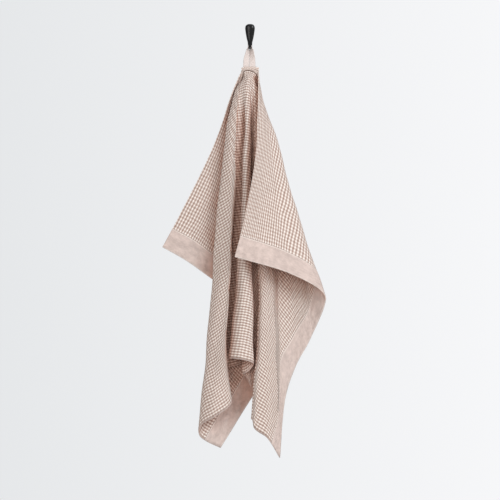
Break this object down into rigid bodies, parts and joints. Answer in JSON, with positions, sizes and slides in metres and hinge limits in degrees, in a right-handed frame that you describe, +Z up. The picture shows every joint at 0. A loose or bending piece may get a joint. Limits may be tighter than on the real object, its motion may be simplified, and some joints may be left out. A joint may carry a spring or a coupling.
{
  "type": "hand towel on a wall hook",
  "caption": "Waffle-weave hand towel with plain end bands, draped in uneven folds from a tape loop on a small black wall hook.",
  "frame": {"origin": "on the back of the hook's plate, where it meets the wall", "axes": "+Y into the wall, so the room is on the -Y side, +Z up, +X to the right as seen from the room"},
  "size_m": [0.2728, 0.1038, 0.7229],
  "materials": {
    "cotton_waffle": "matt cotton waffle weave, cream and rose taupe, with plain woven bands at the two short ends",
    "cotton_tape": "matt woven cotton tape",
    "black_metal_arm": "gloss black",
    "black_metal_plate": "gloss black"
  },
  "bodies": {
    "root": {"towel_cloth": "cotton_waffle", "hanging_loop": "cotton_tape", "hook_arm": "black_metal_arm", "hook_plate": "black_metal_plate"}
  },
  "joints": []
}
